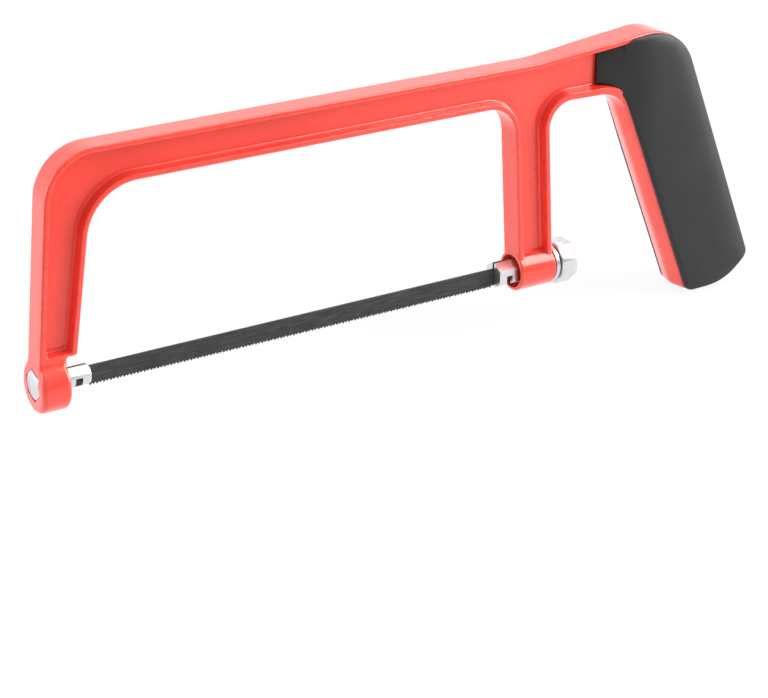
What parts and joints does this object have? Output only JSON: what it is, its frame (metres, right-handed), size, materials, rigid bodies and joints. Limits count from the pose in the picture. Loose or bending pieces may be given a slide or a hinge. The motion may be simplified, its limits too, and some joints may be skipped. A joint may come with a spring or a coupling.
{
  "type": "mini hacksaw",
  "caption": "Small hacksaw with a cast bow frame, a pinned toothed blade held between slotted studs, a tension knob and a leaning handle with soft side panels.",
  "frame": {"origin": "middle of the hand grip, on the saw's mid-plane", "axes": "+X along the blade from the nose to the handle, +Y across the saw to its right panel, +Z from the blade up to the bow's back"},
  "size_m": [0.2518, 0.0154, 0.0905],
  "materials": {
    "red_paint": "gloss",
    "black_grip": "matte",
    "chrome": "polished",
    "black_steel": "blackened"
  },
  "bodies": {
    "saw_frame": {"frame": "red_paint", "grip_left": "black_grip", "grip_right": "black_grip", "front_anchor": "chrome", "thrust_washer": "chrome"},
    "stud": {"tension_stud": "chrome"},
    "knob": {"tension_knob": "chrome"},
    "blade_set": {"blade": "black_steel", "blade_pin_front": "black_steel", "blade_pin_rear": "black_steel"}
  },
  "joints": [
    {"name": "knob_turn", "type": "hinge", "parent": "saw_frame", "child": "knob", "pos_m": [-0.0474, 0, -0.025], "axis": [1, 0, 0], "range_deg": [0, 1440]},
    {"name": "stud_slide", "type": "slide", "parent": "saw_frame", "child": "stud", "axis": [-1, 0, 0], "range_m": [0, 0.004]},
    {"name": "blade_drop", "type": "slide", "parent": "saw_frame", "child": "blade_set", "axis": [0, 0, -1], "range_m": [0, 0.012]}
  ],
  "couplings": [
    {"joint": "stud_slide", "follows": "knob_turn", "m_per_rad": 0.00015915}
  ]
}
